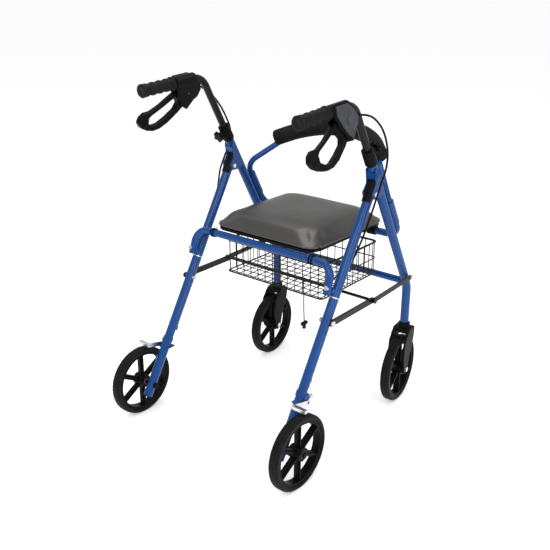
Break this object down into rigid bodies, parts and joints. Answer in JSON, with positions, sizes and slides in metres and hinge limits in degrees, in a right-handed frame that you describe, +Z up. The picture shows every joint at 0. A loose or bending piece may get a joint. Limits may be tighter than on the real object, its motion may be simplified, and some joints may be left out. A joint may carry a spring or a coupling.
{
  "type": "rollator walker",
  "caption": "Folding wheeled walker with a padded seat, wire basket, foam backrest, swivel front casters and loop brake levers on height-adjustable handles.",
  "frame": {"origin": "on the floor, under the middle of the walker, halfway between the front and rear axles", "axes": "+X forward, the way it is pushed; +Y to the user's left; +Z up"},
  "size_m": [0.6985, 0.591, 0.9038],
  "materials": {
    "blue_paint": "glossy powder coat",
    "black_metal": "semi-gloss black paint",
    "zinc": "bright zinc plating",
    "black_plastic": "satin moulded plastic",
    "grey_plastic": "satin moulded plastic",
    "grip_rubber": "ribbed matt rubber",
    "tyre": "matt solid tyre",
    "vinyl": "padded black vinyl",
    "foam": "matt foam",
    "cord": "braided cord",
    "bush": "plain plastic bush"
  },
  "bodies": {
    "front_frame": {"front_leg_left": "blue_paint", "front_leg_right": "blue_paint", "front_crossbar": "blue_paint", "front_seat_bar": "blue_paint", "backrest_sockets": "blue_paint", "pivot_brackets": "blue_paint", "pivot_bolts": "zinc", "handle_collars": "black_plastic", "stem_bushes": "bush"},
    "rear_frame": {"rear_leg_left": "blue_paint", "rear_leg_right": "blue_paint", "rear_leg_caps": "black_plastic", "rear_seat_bar": "blue_paint", "bar_saddles": "blue_paint", "frame_bolts": "zinc", "rear_axles": "zinc", "seat_rests": "black_plastic", "brake_brackets": "zinc", "wheel_bushes": "bush", "leg_cables": "black_plastic"},
    "rear_stay_pair": {"rear_stays": "black_metal", "cross_rod": "black_metal", "pull_cord": "cord", "cord_toggle": "black_plastic"},
    "front_stay_pair": {"front_stays": "black_metal", "front_stay_bolts": "zinc"},
    "rear_left_wheel": {"rear_left_rim": "black_plastic", "rear_left_tyre": "tyre"},
    "rear_right_wheel": {"rear_right_rim": "black_plastic", "rear_right_tyre": "tyre"},
    "front_left_wheel": {"front_left_rim": "black_plastic", "front_left_tyre": "tyre"},
    "front_right_wheel": {"front_right_rim": "black_plastic", "front_right_tyre": "tyre"},
    "caster_left": {"fork_left": "black_plastic", "caster_pins_left": "zinc"},
    "caster_right": {"fork_right": "black_plastic", "caster_pins_right": "zinc"},
    "handle_left": {"handle_tube_left": "black_metal", "grip_left": "grip_rubber", "brake_housing_left": "black_plastic", "housing_cover_left": "grey_plastic", "brake_cable_left": "black_plastic"},
    "handle_right": {"handle_tube_right": "black_metal", "grip_right": "grip_rubber", "brake_housing_right": "black_plastic", "housing_cover_right": "grey_plastic", "brake_cable_right": "black_plastic"},
    "lever_left": {"brake_lever_left": "black_plastic"},
    "lever_right": {"brake_lever_right": "black_plastic"},
    "knob_left": {"clamp_knob_left": "black_plastic"},
    "knob_right": {"clamp_knob_right": "black_plastic"},
    "brake_shoe_left": {"brake_arm_left": "zinc"},
    "brake_shoe_right": {"brake_arm_right": "zinc"},
    "seat": {"seat_board": "black_plastic", "seat_cushion": "vinyl"},
    "basket": {"basket": "black_metal"},
    "backrest": {"backrest_tube": "blue_paint", "backrest_foam": "foam"}
  },
  "joints": [
    {"name": "frame_fold", "type": "hinge", "parent": "front_frame", "child": "rear_frame", "pos_m": [0.07407, 0, 0.641], "axis": [0, -1, 0], "range_deg": [0, 32]},
    {"name": "rear_stay_turn", "type": "hinge", "parent": "rear_frame", "child": "rear_stay_pair", "pos_m": [-0.09417, 0, 0.361], "axis": [0, -1, 0], "range_deg": [-75.5, 0]},
    {"name": "front_stay_turn", "type": "hinge", "parent": "rear_stay_pair", "child": "front_stay_pair", "pos_m": [0.082, 0, 0.362], "axis": [0, -1, 0], "range_deg": [0, 113.5]},
    {"name": "basket_swing", "type": "hinge", "parent": "front_frame", "child": "basket", "pos_m": [0.224, 0, 0.49398], "axis": [0, -1, 0], "range_deg": [0, 39]},
    {"name": "rear_left_spin", "type": "hinge", "parent": "rear_frame", "child": "rear_left_wheel", "pos_m": [-0.254, 0.2715, 0.095], "axis": [0, 1, 0], "continuous": true},
    {"name": "caster_left_swivel", "type": "hinge", "parent": "front_frame", "child": "caster_left", "pos_m": [0.283, 0.23, 0.15], "axis": [0, 0, 1], "continuous": true},
    {"name": "front_left_spin", "type": "hinge", "parent": "caster_left", "child": "front_left_wheel", "pos_m": [0.25407, 0.22798, 0.095], "axis": [-0.0698, 0.9976, 0], "continuous": true},
    {"name": "handle_left_height", "type": "slide", "parent": "front_frame", "child": "handle_left", "axis": [-0.4848, 0, 0.8746], "range_m": [-0.06, 0.065]},
    {"name": "lever_left_squeeze", "type": "hinge", "parent": "handle_left", "child": "lever_left", "pos_m": [-0.07473, 0.23927, 0.85659], "axis": [-0.0212, 0.9511, 0.3083], "range_deg": [0, 11], "stiffness_Nm_per_rad": 2, "springref_deg": -8.59},
    {"name": "knob_left_turn", "type": "hinge", "parent": "front_frame", "child": "knob_left", "pos_m": [0.06031, 0.23, 0.73874], "axis": [-0.8746, 0, -0.4848], "continuous": true},
    {"name": "shoe_left_press", "type": "hinge", "parent": "rear_frame", "child": "brake_shoe_left", "pos_m": [-0.18472, 0.248, 0.187], "axis": [0, -1, 0], "range_deg": [0, 5.5]},
    {"name": "rear_right_spin", "type": "hinge", "parent": "rear_frame", "child": "rear_right_wheel", "pos_m": [-0.254, -0.2715, 0.095], "axis": [0, 1, 0], "continuous": true},
    {"name": "caster_right_swivel", "type": "hinge", "parent": "front_frame", "child": "caster_right", "pos_m": [0.283, -0.23, 0.15], "axis": [0, 0, 1], "continuous": true},
    {"name": "front_right_spin", "type": "hinge", "parent": "caster_right", "child": "front_right_wheel", "pos_m": [0.25428, -0.23404, 0.095], "axis": [-0.1392, 0.9903, 0], "continuous": true},
    {"name": "handle_right_height", "type": "slide", "parent": "front_frame", "child": "handle_right", "axis": [-0.4848, 0, 0.8746], "range_m": [-0.033, 0.092]},
    {"name": "lever_right_squeeze", "type": "hinge", "parent": "handle_right", "child": "lever_right", "pos_m": [-0.06164, -0.23927, 0.83297], "axis": [0.0212, 0.9511, -0.3083], "range_deg": [0, 11], "stiffness_Nm_per_rad": 2, "springref_deg": -8.59},
    {"name": "knob_right_turn", "type": "hinge", "parent": "front_frame", "child": "knob_right", "pos_m": [0.06031, -0.23, 0.73874], "axis": [0.8746, 0, 0.4848], "continuous": true},
    {"name": "shoe_right_press", "type": "hinge", "parent": "rear_frame", "child": "brake_shoe_right", "pos_m": [-0.18472, -0.248, 0.187], "axis": [0, -1, 0], "range_deg": [0, 5.5]},
    {"name": "seat_lift", "type": "hinge", "parent": "front_frame", "child": "seat", "pos_m": [0.224, 0, 0.49398], "axis": [0, 1, 0], "range_deg": [0, 58]},
    {"name": "backrest_lift", "type": "slide", "parent": "front_frame", "child": "backrest", "axis": [-0.4848, 0, 0.8746], "range_m": [0, 0.045]}
  ],
  "couplings": [
    {"joint": "rear_stay_turn", "follows": "frame_fold", "ratio": -2.336},
    {"joint": "front_stay_turn", "follows": "frame_fold", "ratio": 3.524},
    {"joint": "basket_swing", "follows": "frame_fold", "ratio": 1.2},
    {"joint": "shoe_left_press", "follows": "lever_left_squeeze", "ratio": 0.5},
    {"joint": "shoe_right_press", "follows": "lever_right_squeeze", "ratio": 0.5}
  ]
}
